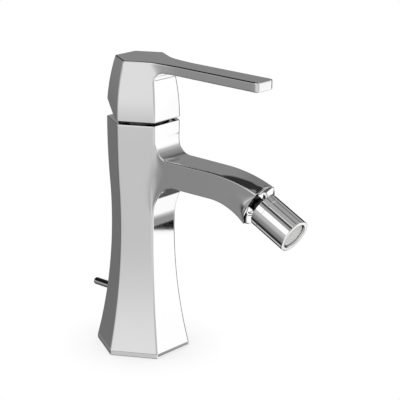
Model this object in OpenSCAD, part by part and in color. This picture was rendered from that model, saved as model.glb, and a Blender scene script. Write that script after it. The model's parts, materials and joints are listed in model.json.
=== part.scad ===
// Single-lever bidet mixer with a waisted hexagonal body. Millimetres, +Z up, spout along +X.
// The origin is the centre of the deck hole, on the face of the deck.

/* [Body] */
// Height of the body's top face
body_h = 134.3; // [134:0.1:134.6]
// Half width across flats at the base
base_a = 23.6; // [23.6:0.05:23.8]
// Height of the upright rim at the base
rim_h = 2.9; // [2.8:0.1:3.1]
// Half width across flats at the waist
waist_a = 15.91; // [15.8:0.01:16]
// Height of the waist
waist_z = 74.1; // [73.5:0.1:74.7]
// Radius of the hollow sides
hollow_r = 340; // [335:1:345]
// Half width across flats at the top of the body
top_a = 18.03; // [18.02:0.01:18.06]
// Height where the side turns from hollow to full
turn_z = 97.5; // [97:0.1:98]

/* [Spout] */
// Distance from the body's axis to the middle of the spout's end
spout_reach = 83.7; // [83:0.1:84]
// Height of the spout's flat top
spout_top = 116.05; // [115.8:0.05:116.3]
// Height of the spout's flat underside
spout_under = 101.1; // [100.9:0.05:101.3]
// Width of the spout at the body
spout_w0 = 19.9; // [19.7:0.1:20.1]
// Width of the spout at its end
spout_w1 = 16.3; // [16.2:0.1:16.4]
// Slope of the spout's end face, in degrees
end_slope = 24.5; // [24:0.5:25]

/* [Lever] */
// Height of the lever's flat top
lever_top = 168.9; // [168.5:0.1:169.2]
// Thickness of the lever bar
lever_t = 5.45; // [5.2:0.05:5.8]
// Distance from the axis to the lever's end
lever_reach = 86; // [84:0.5:88]
// Width of the lever bar
lever_w = 13.2; // [12.8:0.1:13.6]
// Gap between the body and the cap
cap_gap = 1.8; // [1.7:0.1:1.9]
// Slope of the cap's cut back edge, in degrees
cap_slope = 29.9; // [29:0.1:31]

/* [Nozzle] */
// Diameter of the nozzle
nozzle_d = 18.9; // [18.6:0.1:19]
// How far the nozzle is tipped down on its ball, in degrees
nozzle_tip = 1.5; // [0:0.5:3]
// Length of the nozzle
nozzle_l = 23.3; // [22:0.1:24]
// Diameter of the ball
ball_d = 13.2; // [13:0.1:13.3]

/* [Connections] */
// Tapping radius of the two hose inlets
inlet_r = 4.5; // [4.4:0.05:4.6]
// Distance between the two hose inlets
inlet_pitch = 14; // [14:0.5:15]
// Tapping radius of the fixing stud's hole
stud_r = 3.4; // [3.3:0.05:3.5]
// Radius of the hollow under the body
recess_r = 15; // [14.5:0.1:15]

/* [Pop-up waste] */
// Diameter of the rear rod
rocker_d = 4.2; // [4:0.1:4.2]
// Height of the rear rod
rocker_z = 28.2; // [28:0.1:29]
// Distance from the axis to the rod's outer end
rocker_reach = 38.5; // [36:0.5:40]

/* [Hidden] */
$fn = 96;

chrome = [0.78, 0.79, 0.81];
brass = [0.80, 0.66, 0.36];
steel = [0.66, 0.67, 0.69];
white_plastic = [0.93, 0.93, 0.91];
grey_plastic = [0.55, 0.56, 0.58];
ceramic_white = [0.96, 0.95, 0.92];
black_rubber = [0.10, 0.10, 0.11];

big_fn = 720;
side_fn = 360;
far = 60;
eps = 0.05;

// How far the hollow part of the column runs on inside the rim and inside its full part
lap = 0.4;

// Full sides of the body's upper end and of the cap
full_r = 542;
cap_a = 18.1;
cap_r = 124;
cap_bottom = body_h + cap_gap;
cap_slope_x = -3.6;

// Spout profile
top_fillet = 9.35;
under_fillet = [15, 22];
spout_top_bend_x = 55;
spout_top_r = 91.4;
spout_under_bend_x = 56;
spout_under_r = 36.3;
face_top_x = 17.65;
face_under_x = 15.6;
end_half = 9.85;
end_mid_z = 101.15;
bell_w = -8;
bell_r = 7.6;
bell_curve = 11;
blend_r = 24;
blend_corner = [17.1, 9.95, 105];
blend_lean = 2.6;
blend_sink = 0.1;
blend_up = 20;
blend_down = 22;
dish_r = 31;
dish_depth = 2.56;

// Water ways and cartridge seat
seat_z = 111.5;
seat_r = 12.7;
nut_z = 127;
nut_r = 13.6;
recess_top = 38;
inlet_len = 14;
stud_x = 9;
stud_len = 14;
port_x = 3.6;
port_y = 4.65;
port_r = 1.9;
outlet_x = -5;
outlet_r = 2.4;
way_z = 106.5;
way_neck_r = 2.1;
way_neck_end = 13;
way_r = 3.5;
way_end = 74;

// Cartridge stack
pivot_z = 132;
base_z = 111.7;
fixed_z = 115.7;
moving_z = 118.7;
carrier_z = 121.5;
guide_z = 126;
guide_top = 136.6;
disc_off = -1.4;
arm_len = 7.5;
guide_r = 8.5;
pin_r = 1.2;

// Nozzle, measured along its axis from the plane of the spout's end corners
collar_r = 7.5;
collar_seat_r = 7.65;
collar_seat_w = -3.4;
collar_top_w = -1.8;
thread_r = 6;
thread_end_w = -12.5;
ball_w = 6.5;
ball_r = ball_d / 2;
stem_r = 3.9;
nozzle_r = nozzle_d / 2;
nozzle_w = 3.2;
nozzle_end_w = nozzle_w + nozzle_l;
pocket_r = 8.1;
lip_w = nozzle_w + 1;
lip_r = 6.3;

// Pop-up parts
rocker_r = rocker_d / 2;
rocker_x = -17.3;
lift_x = -7.5;
bush_r = 3.5;
bush_flange_r = 4.4;
bush_face_x = -19;
bush_mouth_r = 3.1;
clevis_r = 3.6;
clevis_bore = 2.5;
lift_r = 1.75;

// Points of an arc about c, from angle a0 to a1
function arc(c, r, a0, a1, n) = [for (i = [0:n]) c + r * [cos(a0 + (a1 - a0) * i / n), sin(a0 + (a1 - a0) * i / n)]];

// Six copies of a side feature, one for each face of the hexagon
module each_face() {
    for (i = [0:5]) rotate([0, 0, 60 * i]) children();
}

// Hexagonal bar with its flats facing +X and -X
module hex_bar(a, z0, z1) {
    translate([0, 0, z0]) rotate([0, 0, 30]) cylinder(r = a / cos(30), h = z1 - z0, $fn = 6);
}

// Lying cylinder along Y, for a hollow or full side
module side_roll(x, z, r, fn) {
    translate([x, far, z]) rotate([90, 0, 0]) cylinder(r = r, h = 2 * far, $fn = fn);
}

// Part of the column where the six sides are hollow
module hollow_column(z0, z1, r) {
    difference() {
        hex_bar(base_a + 2, z0, z1);
        each_face() side_roll(waist_a + r, waist_z, r, big_fn);
    }
}

// Part of the column where the six sides are full
module full_column(z0, z1, a, z_full, r) {
    intersection() {
        hex_bar(base_a, z0, z1);
        intersection_for(i = [0:5]) rotate([0, 0, 60 * i]) side_roll(a - r, z_full, r, big_fn);
    }
}

module column() {
    hex_bar(base_a, 0, rim_h);
    hollow_column(rim_h - lap, turn_z + lap, hollow_r);
    full_column(turn_z, body_h, top_a, body_h + 0.5, full_r);
}

// Side view of the spout with its fillets against the front face
module spout_profile() {
    end_d = end_half * [sin(end_slope), cos(end_slope)];
    mid = [spout_reach, end_mid_z];
    top_end = mid + end_d;
    under_end = mid - end_d;
    top_c = [spout_top_bend_x, spout_top - spout_top_r];
    under_c = [spout_under_bend_x, spout_under - spout_under_r];
    root_c = [face_under_x + under_fillet[0], spout_under - under_fillet[1]];
    root = [for (p = arc([0, 0], 1, 180, 90, 12)) root_c + [p[0] * under_fillet[0], p[1] * under_fillet[1]]];
    polygon(concat(
        [[5, root_c[1]]],
        root,
        arc(under_c, spout_under_r, 90, acos((under_end[0] - 1.5 - under_c[0]) / spout_under_r), 12),
        [under_end, top_end],
        arc(top_c, spout_top_r, acos((top_end[0] - 1.5 - top_c[0]) / spout_top_r), 90, 12),
        arc([face_top_x + top_fillet, spout_top + top_fillet], top_fillet, 270, 180, 10),
        [[5, spout_top + top_fillet]]
    ));
}

module spout_side_view() {
    translate([0, far, 0]) rotate([90, 0, 0]) linear_extrude(height = 2 * far) spout_profile();
}

// Plan view of the spout
module spout_plan() {
    x0 = 5;
    x1 = spout_reach + 6;
    slope = (spout_w1 - spout_w0) / 2 / (spout_reach - face_top_x);
    w0 = spout_w0 / 2 + slope * (x0 - face_top_x);
    w1 = spout_w0 / 2 + slope * (x1 - face_top_x);
    polygon([[x0, -w0], [x1, -w1], [x1, w1], [x0, w0]]);
}

// Fill of the shallow corner between a front side face and the side of the spout, in plan
module blend_plan() {
    t = blend_r * tan(14);
    q = t * [cos(2), -sin(2)];
    c = q + blend_r * [sin(2), cos(2)] - blend_sink * [cos(76), sin(76)];
    polygon(concat([[-1, -2]], arc(c, blend_r, 268, 240, 8)));
}

module spout_blend() {
    intersection() {
        translate(blend_corner) rotate([0, blend_lean, 0]) {
            linear_extrude(height = blend_up, scale = 0.05) blend_plan();
            mirror([0, 0, 1]) linear_extrude(height = blend_down, scale = 0.05) blend_plan();
        }
        spout_side_view();
    }
}

// Bell-shaped mouth that swells the sides of the spout into its round end
module spout_bell() {
    on_nozzle() rotate_extrude() polygon(concat(
        [[0, bell_w]],
        arc([bell_r + bell_curve, bell_w], bell_curve, 180, 131, 8),
        [[0, bell_w + bell_curve * sin(131)]]
    ));
}

module spout() {
    intersection() {
        spout_side_view();
        translate([0, 0, 70]) linear_extrude(height = 70) spout_plan();
    }
    spout_blend();
    mirror([0, 1, 0]) spout_blend();
    spout_bell();
}

// Places its children on the axis of the spout's end, with +Z pointing out of the spout
module on_nozzle(w = 0) {
    translate([spout_reach, 0, end_mid_z]) rotate([0, 90 + end_slope, 0]) translate([0, 0, w]) children();
}

// The same for the parts that tip on the ball
module on_tipped(w = 0) {
    on_nozzle(ball_w) rotate([0, nozzle_tip, 0]) translate([0, 0, w - ball_w]) children();
}

module water_ways() {
    for (s = [-1, 1]) {
        translate([0, s * inlet_pitch / 2, recess_top - eps]) cylinder(r = inlet_r, h = inlet_len + eps);
        translate([port_x, s * port_y, recess_top + 1]) cylinder(r = port_r, h = seat_z - recess_top);
    }
    translate([outlet_x, 0, way_z - 1]) cylinder(r = outlet_r, h = seat_z - way_z + 1 + eps);
    translate([outlet_x, 0, way_z]) rotate([0, 90, 0]) cylinder(r = way_neck_r, h = way_neck_end - outlet_x + 1);
    translate([way_neck_end, 0, way_z]) rotate([0, 90, 0]) cylinder(r = way_r, h = way_end - way_neck_end);
    on_nozzle(thread_end_w) cylinder(r = thread_r, h = collar_seat_w - thread_end_w + eps);
    on_nozzle(collar_seat_w) cylinder(r = collar_seat_r, h = 6);
    on_nozzle(dish_r - dish_depth) sphere(r = dish_r, $fn = side_fn);
}

module body() {
    color(chrome) difference() {
        union() {
            column();
            spout();
        }
        translate([0, 0, -eps]) cylinder(r = recess_r, h = recess_top + eps);
        translate([0, 0, -eps]) difference() {
            cylinder(r = 21.1, h = 2.2 + eps);
            translate([0, 0, -eps]) cylinder(r = 18.5, h = 3);
        }
        translate([0, 0, seat_z]) cylinder(r = seat_r, h = far);
        translate([0, 0, nut_z - 1]) cylinder(r = nut_r, h = far);
        translate([stud_x, 0, recess_top - eps]) cylinder(r = stud_r, h = stud_len + eps);
        translate([-25, 0, rocker_z]) rotate([0, 90, 0]) cylinder(r = bush_r, h = 12);
        translate([-25, 0, rocker_z]) rotate([0, 90, 0]) cylinder(r = bush_flange_r, h = 25 + bush_face_x);
        water_ways();
    }
}

module base_gasket() {
    color(black_rubber) rotate_extrude() polygon([[18.6, 0], [21, 0], [21, 1.6], [20.5, 2.15], [19.1, 2.15], [18.6, 1.6]]);
}

// The ports of the cartridge, as cutters from z0 upward
module ports(z0, h, grow = 0) {
    for (s = [-1, 1]) translate([port_x, s * port_y, z0]) cylinder(r = port_r + grow, h = h);
    translate([outlet_x, 0, z0]) cylinder(r = outlet_r + grow, h = h);
}

module port_seals() {
    color(black_rubber) difference() {
        ports(seat_z, 0.9, 0.8);
        ports(seat_z - 1, 3);
    }
}

module cartridge_base() {
    color(white_plastic) difference() {
        translate([0, 0, base_z]) cylinder(r = 12.5, h = fixed_z - base_z);
        ports(base_z - 1, 1.7, 0.85);
        ports(base_z - 1, 8);
        translate([0, 0, base_z + 1.4]) difference() {
            cylinder(r = 13, h = 1.4);
            translate([0, 0, -1]) cylinder(r = 11.6, h = 4);
        }
    }
}

module cartridge_seal() {
    color(black_rubber) translate([0, 0, base_z + 1.45]) rotate_extrude()
        polygon([[11.65, 0], [12.5, 0], [12.66, 0.4], [12.66, 0.9], [12.5, 1.3], [11.65, 1.3]]);
}

module fixed_disc() {
    color(ceramic_white) difference() {
        translate([0, 0, fixed_z]) cylinder(r = 10.9, h = moving_z - fixed_z);
        ports(fixed_z - 1, 6);
    }
}

module cartridge_housing() {
    color(white_plastic) difference() {
        union() {
            translate([0, 0, fixed_z]) cylinder(r = 12.5, h = nut_z - fixed_z);
            translate([0, 0, nut_z - eps]) cylinder(r = 10.2, h = 10 + eps);
        }
        translate([0, 0, fixed_z - 1]) cylinder(r = 11, h = guide_z - fixed_z + 1);
        translate([0, 0, guide_z - 1]) cylinder(r = guide_r + 0.05, h = far);
    }
}

module limit_ring() {
    color("firebrick") translate([0, 0, guide_top + 0.4]) difference() {
        union() {
            cylinder(r = 10.1, h = 1);
            translate([8.8, -1.4, 0]) cube([1, 2.8, 1.4]);
        }
        translate([0, 0, -1]) cylinder(r = 8.9, h = 4);
        translate([0, 0, -1]) cylinder(r = 7.8, h = 6);
    }
}

module cartridge_nut() {
    color(brass) difference() {
        translate([0, 0, nut_z]) cylinder(r = nut_r - 0.05, h = 6.5);
        translate([0, 0, nut_z - 1]) cylinder(r = 10.3, h = 20);
        for (i = [0:3]) rotate([0, 0, 90 * i + 45]) translate([10, -1.2, nut_z + 5]) cube([6, 2.4, 4]);
    }
}

module cover_dome() {
    color(chrome) difference() {
        intersection() {
            translate([0, 0, pivot_z]) sphere(r = 14.6, $fn = 180);
            translate([0, 0, body_h]) cylinder(r = 20, h = 8.6);
        }
        translate([0, 0, body_h - 1]) cylinder(r = 10.4, h = 5.2);
        translate([0, 0, body_h]) cylinder(r = 9.4, h = 20);
    }
}

module spindle_guide() {
    color(grey_plastic) difference() {
        translate([0, 0, guide_z]) cylinder(r = guide_r, h = guide_top - guide_z);
        translate([-7.6, -3.2, guide_z - 1]) cube([15.2, 6.4, 20]);
        translate([0, 9, pivot_z]) rotate([90, 0, 0]) cylinder(r = pin_r, h = 18);
    }
}

module spindle_pin() {
    color(steel) translate([0, 7.8, pivot_z]) rotate([90, 0, 0]) cylinder(r = pin_r, h = 15.6);
}

module moving_disc() {
    color(ceramic_white) difference() {
        translate([disc_off, 0, moving_z + 0.02]) cylinder(r = 9.3, h = carrier_z - moving_z - 0.04);
        hull() {
            translate([-5.6, 0, moving_z - 1]) cylinder(r = 2, h = 2.4, $fn = 32);
            translate([0, 0, moving_z - 1]) cylinder(r = 3.9, h = 2.4, $fn = 32);
        }
    }
}

module disc_carrier() {
    color(grey_plastic) difference() {
        translate([disc_off, 0, carrier_z]) cylinder(r = 9, h = 4);
        translate([0, 0, carrier_z + 0.3]) cylinder(r = 2.7, h = 8);
    }
}

module spindle() {
    color(brass) difference() {
        union() {
            translate([0, 0, pivot_z - arm_len]) sphere(r = 2.6, $fn = 64);
            translate([-1.5, -1.6, pivot_z - arm_len]) cube([3.0, 3.2, 6]);
            translate([-3.4, -3.1, pivot_z - 3.6]) cube([6.8, 6.2, 10.6]);
            translate([-3.4, -3.4, pivot_z + 6.8]) cube([6.8, 6.8, 21.6]);
        }
        translate([0, 9, pivot_z]) rotate([90, 0, 0]) cylinder(r = pin_r + 0.05, h = 18);
    }
}

// Side view of the lever bar with its fillet under the root
module lever_profile() {
    under = lever_top - lever_t;
    r = 5;
    polygon(concat(
        [[4, lever_top], [lever_reach, lever_top], [lever_reach, under]],
        arc([21, under - r], r, 90, 180, 10),
        [[10, under - r], [4, under]]
    ));
}

// Plan view of the lever bar, wider where it leaves the cap, with rounded end corners
module lever_plan() {
    root_w = 16.8;
    root_x = 16;
    neck_x = 33;
    end_r = 2;
    n = 8;
    w = function(t) (lever_w + (root_w - lever_w) * pow(1 - t, 2)) / 2;
    side = [for (i = [0:n]) [root_x + (neck_x - root_x) * i / n, w(i / n)]];
    corner = arc([lever_reach - end_r, lever_w / 2 + 0.1 - end_r], end_r, 90, 0, 6);
    half = concat([[4, root_w / 2]], side, corner);
    polygon(concat(half, [for (i = [len(half) - 1:-1:0]) [half[i][0], -half[i][1]]]));
}

module lever_bar() {
    intersection() {
        translate([0, far, 0]) rotate([90, 0, 0]) linear_extrude(height = 2 * far) lever_profile();
        translate([0, 0, 150]) linear_extrude(height = 30) lever_plan();
    }
}

module lever() {
    color(chrome) difference() {
        union() {
            difference() {
                full_column(cap_bottom, lever_top, cap_a, cap_bottom, cap_r);
                translate([cap_slope_x, -far / 2, cap_bottom]) rotate([0, cap_slope, 0])
                    translate([-far, 0, -far]) cube([far, far, far]);
                translate([0, 0, pivot_z]) sphere(r = 16.2, $fn = 180);
                translate([0, 0, 140]) cylinder(r = 11, h = 17);
            }
            translate([0, 0, 147.5]) cylinder(r = 6.4, h = 14);
            translate([-13.6, -4, 149]) cube([10, 8, 10]);
            lever_bar();
        }
        translate([-3.5, -3.5, 140]) cube([7, 7, 20.6]);
        translate([-30, 0, 153]) rotate([0, 90, 0]) cylinder(r = 2, h = 27);
        translate([-30, 0, 153]) rotate([0, 90, 0]) cylinder(r = 3, h = 16.6);
    }
}

module lever_screw() {
    color(steel) difference() {
        translate([-11.6, 0, 153]) rotate([0, 90, 0]) cylinder(r = 2, h = 8.2);
        translate([-12.6, 0, 153]) rotate([0, 90, 0]) cylinder(r = 1.15, h = 3, $fn = 6);
    }
}

module screw_plug() {
    color(chrome) translate([-16.4, 0, 153]) rotate([0, 90, 0]) cylinder(r = 2.95, h = 3);
}

module spout_collar() {
    color(chrome) on_nozzle() difference() {
        union() {
            translate([0, 0, -11.5]) cylinder(r = thread_r - 0.05, h = 11.5 + collar_seat_w + eps);
            translate([0, 0, collar_seat_w]) cylinder(r = collar_r, h = collar_top_w - collar_seat_w);
        }
        translate([0, 0, collar_top_w - 1]) cylinder(r = 6.5, h = 3);
        translate([0, 0, -7]) cylinder(r = 4.6, h = 3.15);
        translate([0, 0, -7]) cylinder(r = 3.95, h = 10);
        translate([0, 0, -13]) cylinder(r = 3, h = 14);
        translate([0, 0, -10.4]) difference() {
            cylinder(r = 7, h = 1.6);
            translate([0, 0, -1]) cylinder(r = 4.9, h = 4);
        }
    }
}

module collar_seal() {
    color(black_rubber) on_nozzle(-10.35) rotate_extrude()
        polygon([[4.95, 0], [5.7, 0], [5.95, 0.4], [5.95, 1.1], [5.7, 1.5], [4.95, 1.5]]);
}

module swivel_stem() {
    color(chrome) on_nozzle() difference() {
        union() {
            translate([0, 0, -6.95]) cylinder(r = 4.55, h = 3.05);
            translate([0, 0, -6.95]) cylinder(r = stem_r, h = ball_w + 6.95);
            intersection() {
                translate([0, 0, ball_w]) sphere(r = ball_r, $fn = 128);
                cylinder(r = 10, h = ball_w + 3.6);
            }
        }
        translate([0, 0, -8]) cylinder(r = 2.6, h = 30);
    }
}

module nozzle_housing() {
    color(chrome) on_tipped() difference() {
        translate([0, 0, nozzle_w]) cylinder(r = nozzle_r, h = nozzle_l, $fn = 128);
        translate([0, 0, nozzle_w - 1]) cylinder(r = lip_r, h = 5);
        translate([0, 0, lip_w]) cylinder(r = pocket_r, h = nozzle_l);
        translate([0, 0, nozzle_w + 4.5]) difference() {
            cylinder(r = nozzle_r + 1, h = 0.35);
            translate([0, 0, -1]) cylinder(r = nozzle_r - 0.25, h = 3);
        }
    }
}

module ball_seat() {
    color(white_plastic) on_tipped() difference() {
        translate([0, 0, lip_w + 0.02]) cylinder(r = pocket_r - 0.02, h = 3.2);
        translate([0, 0, ball_w]) sphere(r = ball_r + 0.05, $fn = 128);
    }
}

module ball_washer() {
    color(black_rubber) on_tipped() difference() {
        translate([0, 0, lip_w + 3.25]) cylinder(r = pocket_r - 0.02, h = 4.2);
        translate([0, 0, ball_w]) sphere(r = ball_r + 0.05, $fn = 128);
        translate([0, 0, ball_w]) cylinder(r = 4.4, h = 12);
    }
}

module flow_screen() {
    color(steel) on_tipped(lip_w + 7.5) difference() {
        cylinder(r = pocket_r - 0.05, h = 0.8);
        for (i = [-3:3], j = [-3:3]) if (i * i + j * j < 13)
            translate([1.7 * i, 1.7 * j, -1]) cylinder(r = 0.55, h = 3, $fn = 16);
    }
}

module nozzle_insert() {
    insert_w = lip_w + 8.35;
    front = nozzle_end_w - 0.15;
    color(white_plastic) on_tipped() difference() {
        translate([0, 0, insert_w]) cylinder(r = pocket_r - 0.05, h = front - insert_w);
        translate([0, 0, front - 1.2]) cylinder(r = 7.3, h = 3);
        translate([0, 0, insert_w - 1]) cylinder(r = 6.6, h = front - insert_w - 1.4);
        translate([0, 0, insert_w + 2]) difference() {
            cylinder(r = 9, h = 1.5);
            translate([0, 0, -1]) cylinder(r = 7.2, h = 4);
        }
        for (ring = [1:3]) for (i = [0:6 * ring - 1])
            rotate([0, 0, 60 * i / ring]) translate([2 * ring, 0, front - 3]) cylinder(r = 0.45, h = 3, $fn = 16);
    }
}

module nozzle_seal() {
    color(black_rubber) on_tipped(lip_w + 10.4) rotate_extrude()
        polygon([[7.25, 0], [7.9, 0], [8.08, 0.4], [8.08, 1], [7.9, 1.4], [7.25, 1.4]]);
}

module rocker_bush() {
    inner_x = -15;
    slope = (bush_mouth_r - rocker_r - 0.15) / (rocker_x + 19.9);
    color(brass) translate([0, 0, rocker_z]) difference() {
        rotate([0, 90, 0]) rotate_extrude() polygon([
            [rocker_r + 0.15, rocker_x],
            [bush_mouth_r, -19.9],
            [bush_flange_r, -19.9],
            [bush_flange_r, bush_face_x],
            [bush_r, bush_face_x],
            [bush_r, inner_x],
            [rocker_r + 0.15 + slope * (inner_x - rocker_x), inner_x]
        ]);
        translate([rocker_x, 5, 0]) rotate([90, 0, 0]) cylinder(r = 0.8, h = 10);
    }
}

module rocker_pin() {
    color(steel) translate([rocker_x, 3.4, rocker_z]) rotate([90, 0, 0]) cylinder(r = 0.8, h = 6.8);
}

module popup_rocker() {
    end_r = 1.3;
    color(chrome) translate([0, 0, rocker_z]) difference() {
        union() {
            rotate([0, 90, 0]) rotate_extrude() polygon(concat(
                [[0, -rocker_reach]],
                arc([rocker_r - end_r, end_r - rocker_reach], end_r, -90, 0, 6),
                [[rocker_r, -12.6], [0, -12.6]]
            ));
            translate([-13, 0, 0]) rotate([0, 90, 0]) cylinder(r = 1.1, h = 5.5);
            translate([lift_x, 0, 0]) sphere(r = clevis_bore - 0.08, $fn = 64);
        }
        translate([rocker_x, 5, 0]) rotate([90, 0, 0]) cylinder(r = 0.86, h = 10);
    }
}

module lift_rod() {
    color(steel) difference() {
        union() {
            translate([lift_x, 0, 4]) cylinder(r = lift_r, h = 22);
            translate([lift_x, 0, rocker_z - 5.2]) cylinder(r = clevis_r, h = 9);
        }
        translate([lift_x - 6, 0, rocker_z]) rotate([0, 90, 0]) cylinder(r = clevis_bore, h = 12);
    }
}

body();
base_gasket();
port_seals();
cartridge_seal();
cartridge_base();
fixed_disc();
cartridge_housing();
limit_ring();
cartridge_nut();
cover_dome();
spindle_guide();
moving_disc();
disc_carrier();
spindle();
spindle_pin();
lever();
lever_screw();
screw_plug();
spout_collar();
collar_seal();
swivel_stem();
nozzle_housing();
ball_seat();
ball_washer();
flow_screen();
nozzle_insert();
nozzle_seal();
rocker_bush();
rocker_pin();
popup_rocker();
lift_rod();
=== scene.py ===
"""Dressed view of the bidet mixer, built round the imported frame. Lengths below are millimetres."""
import json
import math

import bmesh
import bpy
from mathutils import Matrix, Vector


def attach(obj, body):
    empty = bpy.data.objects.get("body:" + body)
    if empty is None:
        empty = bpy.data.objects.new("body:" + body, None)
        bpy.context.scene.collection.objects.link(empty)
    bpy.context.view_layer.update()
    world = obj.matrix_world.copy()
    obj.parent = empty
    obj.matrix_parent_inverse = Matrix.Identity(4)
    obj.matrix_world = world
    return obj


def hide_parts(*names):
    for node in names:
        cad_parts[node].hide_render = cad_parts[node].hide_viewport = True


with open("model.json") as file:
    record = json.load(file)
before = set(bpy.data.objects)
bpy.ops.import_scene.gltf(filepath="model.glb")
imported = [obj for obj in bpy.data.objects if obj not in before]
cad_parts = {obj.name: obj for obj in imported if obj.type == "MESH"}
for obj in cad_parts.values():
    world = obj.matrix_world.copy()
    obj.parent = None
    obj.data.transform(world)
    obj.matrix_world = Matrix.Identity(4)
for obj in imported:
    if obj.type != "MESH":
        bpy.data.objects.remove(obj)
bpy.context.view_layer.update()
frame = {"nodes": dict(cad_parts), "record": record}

MM = 0.001
T30 = math.tan(math.radians(30))
C30 = math.cos(math.radians(30))

# Column: a waisted hexagon with flats facing +X and -X. A is half the width across the flats.
BASE_A = 23.55
RIM_H = 2.8
WAIST_A, WAIST_Z, HOLLOW_R = 15.91, 74.1, 340.0
TOP_A, FULL_Z, FULL_R, TURN_Z = 18.03, 134.8, 542.0, 97.5
BODY_H = 134.3
EDGE = 0.8
GAP_EDGE = 0.35
# Distance from an edge to the row of points that holds it
HOLD = 0.12
# Edges that turn by more than this stay sharp
SHARP = math.radians(32)

# Underside: gasket groove, recess, hose inlets and stud hole, each as x, y and radius
GROOVE_R = (21.1, 18.5)
GROOVE_DEPTH = 2.2
RECESS_R, RECESS_TOP = 15.0, 38
DRILLINGS = [(0, 7, 4.5), (0, -7, 4.5), (9, 0, 3.4)]
DRILL_TOP = 52.0

# Hole in the back for the bush of the rod
BUSH_AT = (0, 28.2)
BUSH_R = 3.55
BUSH_PATCH = (21.0, 35.4)
INNER_PATCH, INNER_PATCH_Y = (20.0, 36.4), 6.2

# Well in the top for the dome and the cartridge
WELL_R, WELL_Z = (13.6, 12.72), (126, 111.5)

# Spout: its root, underside, top, and the fillet over it
ROOT_C, ROOT_AX = (30.6, 79.1), (14.653, 22.0)
UNDER_Z, UNDER_X, UNDER_R = 101.1, 56.0, 36.3
TOP_Z, TOP_X, TOP_R = 116.05, 55.0, 91.4
FILLET_Z, FILLET_R = 125.25, 9.2
SPOUT_HALF, SPOUT_FROM, SPOUT_TAPER = 9.6, 25, 0.02385
SPOUT_DIP, DIP_RISE = 0.62, 13
BLEND_R, BLEND_END_R = 25.0, 3
# Centre of a blend of radius 1 between column and spout, from where their sides meet
BLEND_X, BLEND_Y = 0.27896, 1.00028
CROWN, CROWN_FROM, CROWN_RUN = 0.7, -34, 30

# Spout's end: N is its axis and H points up its plane, in X and Z
TIP = (83.7, 101.15)
SLOPE = math.radians(24.5)
N = (math.cos(SLOPE), -math.sin(SLOPE))
H = (math.sin(SLOPE), math.cos(SLOPE))
TIP_HALF = 9.85
BELL_H, BELL_Y = 11.85, 11.25
BELL_FROM, BELL_KNEE, FLARE_R, FLARE_DROP, FLARE_FADE = -14, -8, 11, 7.55, 6
BELL_BLEND, SIDE_REACH, FLAT_REACH = 0.7, 9.7, 8.1
DISH_R, DISH_DEPTH = 31.0, 2.56
RIM_ROLL, RIM_BACK = 0.35, 0.25
SEAT_R, SEAT_W = 7.65, -3.4
BORE_R, BORE_W = 5.97, -12.5

# Cap and lever
CAP_Z, CAP_A, CAP_R = 136.1, 18.08, 124.0
CUT_X, CUT_SLOPE = -3.6, math.tan(math.radians(29.9))
LEVER_TOP, LEVER_UNDER, LEVER_END = 168.88, 163.45, 86.0
LEVER_FILLET, LEVER_CORNER = 5.0, 2
FILLET_STEPS = 10
LEVER_HALF, LEVER_FLARE, FLARE_X, FLARE_RUN = 6.62, 1.6, 33, 17
LEVER_WIDEN, WIDEN_RUN = 0.1, 53
LEVER_BLEND, BLEND_RISE = 1.1, 3
PLUG_AT, PLUG_R, PLUG_X = (0, 153), 3.0, -13.2
HOLLOW_DOME = 16.2
PIVOT_Z = 132.0

# Dome, ball and nozzle
DOME_R, DOME_FOOT, DOME_BORE = 14.6, 2.3, 9.45
NOZZLE_R, POCKET_R, NOZZLE_END = 9.45, 7.4, 20.0
NOZZLE_TIP = math.radians(1.5)
BALL_W, BALL_R = 6.5, 6.6
STEM_R, STEM_BORE, STEM_END, NECK_W = 4.55, 2.6, -6.95, -3.9
NECK_R = 3.9
FACE_R = 6.8
END = (TIP[0], 0.0, TIP[1])
END_AXIS = (N[0], 0.0, N[1])
BALL = tuple(Vector(END) + Vector(END_AXIS) * BALL_W)
TIPPED_AXIS = (math.cos(SLOPE + NOZZLE_TIP), 0.0, -math.sin(SLOPE + NOZZLE_TIP))

# Inner points of every rounded edge
BEVEL_STEPS = (0.2, 0.4, 0.6, 0.8)


class Shell:
    """Collects faces given by points and welds equal points."""

    def __init__(self):
        self.points = []
        self.index = {}
        self.faces = []

    def vertex(self, p):
        key = (round(p[0], 3), round(p[1], 3), round(p[2], 3))
        if key not in self.index:
            self.index[key] = len(self.points)
            self.points.append(p)
        return self.index[key]

    def face(self, *points):
        ids = []
        for p in points:
            i = self.vertex(p)
            if i not in ids:
                ids.append(i)
        if len(ids) > 2:
            self.faces.append(ids)

    def grid(self, rows, closed=False, skip=None):
        for j in range(len(rows) - 1):
            a, b = rows[j], rows[j + 1]
            n = len(a)
            for i in range(n if closed else n - 1):
                if skip and skip(i, j):
                    continue
                k = (i + 1) % n
                self.face(a[i], a[k], b[k], b[i])

    def make(self, name):
        mesh = bpy.data.meshes.new(name)
        mesh.from_pydata([[c * MM for c in p] for p in self.points], [], self.faces)
        bm = bmesh.new()
        bm.from_mesh(mesh)
        bmesh.ops.recalc_face_normals(bm, faces=bm.faces)
        bm.to_mesh(mesh)
        bm.free()
        mesh.shade_smooth()
        mesh.set_sharp_from_angle(angle=SHARP)
        obj = bpy.data.objects.new(name, mesh)
        bpy.context.scene.collection.objects.link(obj)
        return obj


def spread(lo, hi, n):
    return [lo + (hi - lo) * i / n for i in range(n + 1)]


def smooth_step(q):
    q = min(1.0, max(0.0, q))
    return q * q * (3 - 2 * q)


def soft_max(a, b, k):
    return (a + b + math.sqrt((a - b) ** 2 + k * k)) / 2


def mirrored(row):
    return [(p[0], -p[1], p[2]) for p in row]


def bezier(a, p, b):
    """Inner points of a rounded edge from a to b round the sharp corner p."""
    out = []
    for t in BEVEL_STEPS:
        u = 1 - t
        out.append(tuple(u * u * x + 2 * u * t * y + t * t * z for x, y, z in zip(a, p, b)))
    return out


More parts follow.
